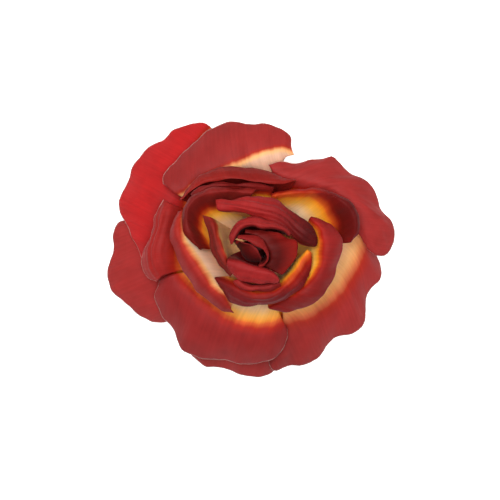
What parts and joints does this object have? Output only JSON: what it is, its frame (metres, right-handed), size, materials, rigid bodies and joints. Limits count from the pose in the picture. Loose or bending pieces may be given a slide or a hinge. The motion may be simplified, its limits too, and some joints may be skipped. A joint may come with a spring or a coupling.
{
  "type": "flower hair clip",
  "caption": "Layered satin rose on a felt-backed sprung alligator hair clip whose lower jaw opens when its tail is squeezed.",
  "frame": {"origin": "centre of the overall footprint, at the height of the clip's lowest point", "axes": "+X the rose's widest direction and the clip's tail, +Z out of the rose's face, away from the hair"},
  "size_m": [0.099, 0.0879, 0.0494],
  "materials": {
    "red_satin": "brushed satin, red with orange, yellow and cream towards the root",
    "moulded_plastic": "moulded, matt green",
    "hot_melt_glue": "milky hot-melt glue",
    "felt": "black craft felt",
    "nickel_plated_steel": "nickel-plated sheet steel",
    "spring_wire": "drawn spring wire"
  },
  "bodies": {
    "rose": {"back_petal_bottom": "red_satin", "back_petal_right": "red_satin", "back_petal_left": "red_satin", "back_petal_top_left": "red_satin", "outer_petal_top": "red_satin", "outer_petal_right": "red_satin", "outer_petal_bottom": "red_satin", "outer_petal_left": "red_satin", "middle_petal_top": "red_satin", "middle_petal_right": "red_satin", "middle_petal_lower_right": "red_satin", "middle_petal_lower_left": "red_satin", "inner_petal_top": "red_satin", "inner_petal_left": "red_satin", "inner_petal_bottom": "red_satin", "heart_petal_right": "red_satin", "heart_petal_left": "red_satin", "heart_petal_bottom": "red_satin", "bud_petal_bottom": "red_satin", "bud_petal_top": "red_satin", "bud_petal_right": "red_satin", "bud_petal_inner": "red_satin", "bud_petal_left": "red_satin", "base_cup": "moulded_plastic", "stem_peg": "moulded_plastic", "spacer_collar_1": "moulded_plastic", "spacer_collar_2": "moulded_plastic", "spacer_collar_3": "moulded_plastic", "spacer_collar_4": "moulded_plastic", "spacer_collar_5": "moulded_plastic", "spacer_collar_6": "moulded_plastic", "bud_core": "moulded_plastic", "glue_pad": "hot_melt_glue", "felt_backing": "felt", "clip_upper_arm": "nickel_plated_steel", "hinge_pin": "nickel_plated_steel", "torsion_spring": "spring_wire"},
    "jaw": {"clip_lower_arm": "nickel_plated_steel"}
  },
  "joints": [
    {"name": "jaw_hinge", "type": "hinge", "parent": "rose", "child": "jaw", "pos_m": [0.00835, 0.00115, 0.005], "axis": [0, -1, 0], "range_deg": [0, 25], "stiffness_Nm_per_rad": 0.05, "springref_deg": -68.75, "deforming": ["torsion_spring"]}
  ]
}
